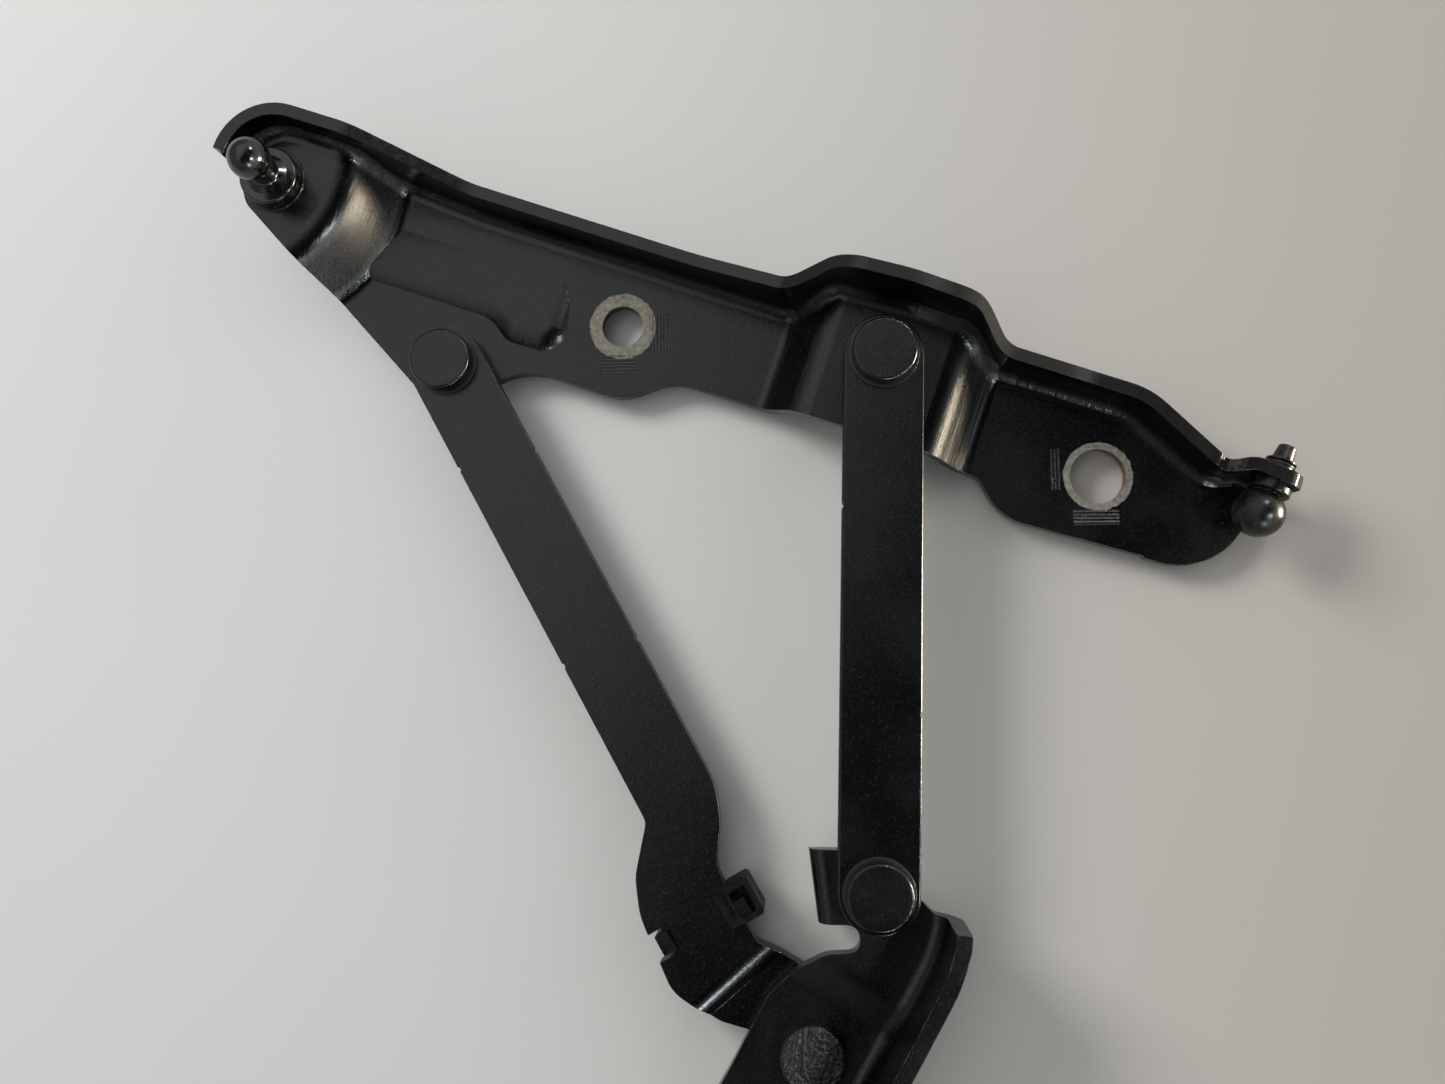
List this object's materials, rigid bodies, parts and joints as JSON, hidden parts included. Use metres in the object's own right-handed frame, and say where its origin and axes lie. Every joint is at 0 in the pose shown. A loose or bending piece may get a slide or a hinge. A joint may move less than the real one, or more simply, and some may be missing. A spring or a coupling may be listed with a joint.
{
  "type": "trunk lid hinge",
  "caption": "Pressed-steel trunk lid hinge: riveted bar links swing a long lid bracket with ball studs on a stepped bracket that bolts to the car body.",
  "frame": {"origin": "centre of the body bracket's bolt hole nearer the pivots, on the face that bolts to the car body", "axes": "+Z out of that mounting face and along all pivots, +Y towards the lid bracket, +X towards the end of the lid bracket with the upright tab"},
  "size_m": [0.2584, 0.3107, 0.0376],
  "materials": {
    "coated_sheet": "satin black dip coat with fine orange peel",
    "coated_rivet": "satin black dip coat",
    "coated_washer": "satin black dip coat",
    "bush_liner": "dark low-friction liner",
    "stud_steel": "smooth dark coated steel",
    "moulded_stop": "moulded black"
  },
  "bodies": {
    "body_bracket": {"body_bracket": "coated_sheet", "rivet_front_body": "coated_rivet", "rivet_rear_body": "coated_rivet", "washer_front_body": "coated_washer", "washer_rear_body": "coated_washer", "retaining_washer": "coated_washer"},
    "front_link": {"front_link": "coated_sheet", "bush_front_body": "bush_liner", "bush_front_lid": "bush_liner"},
    "lid_bracket": {"lid_bracket": "coated_sheet", "rivet_front_lid": "coated_rivet", "rivet_rear_lid": "coated_rivet", "washer_front_lid": "coated_washer", "washer_rear_lid": "coated_washer", "strut_ball_stud": "stud_steel", "end_ball_stud": "stud_steel"},
    "rear_link": {"rear_link": "coated_sheet", "bush_rear_lid": "bush_liner", "bush_rear_body": "bush_liner", "stop_buffer": "moulded_stop"}
  },
  "joints": [
    {"name": "front_link_swing", "type": "hinge", "parent": "body_bracket", "child": "front_link", "pos_m": [0.03924, 0.07896, 0], "axis": [0, 0, 1], "range_deg": [-25, 42]},
    {"name": "lid_bracket_turn", "type": "hinge", "parent": "front_link", "child": "lid_bracket", "pos_m": [0.04204, 0.20356, 0], "axis": [0, 0, 1], "range_deg": [-16, 10]},
    {"name": "rear_link_turn", "type": "hinge", "parent": "lid_bracket", "child": "rear_link", "pos_m": [-0.0674, 0.20606, 0], "axis": [0, 0, 1], "range_deg": [-4, 6.5]}
  ],
  "couplings": [
    {"joint": "lid_bracket_turn", "follows": "front_link_swing", "ratio": -0.368},
    {"joint": "rear_link_turn", "follows": "front_link_swing", "ratio": 0.142}
  ]
}
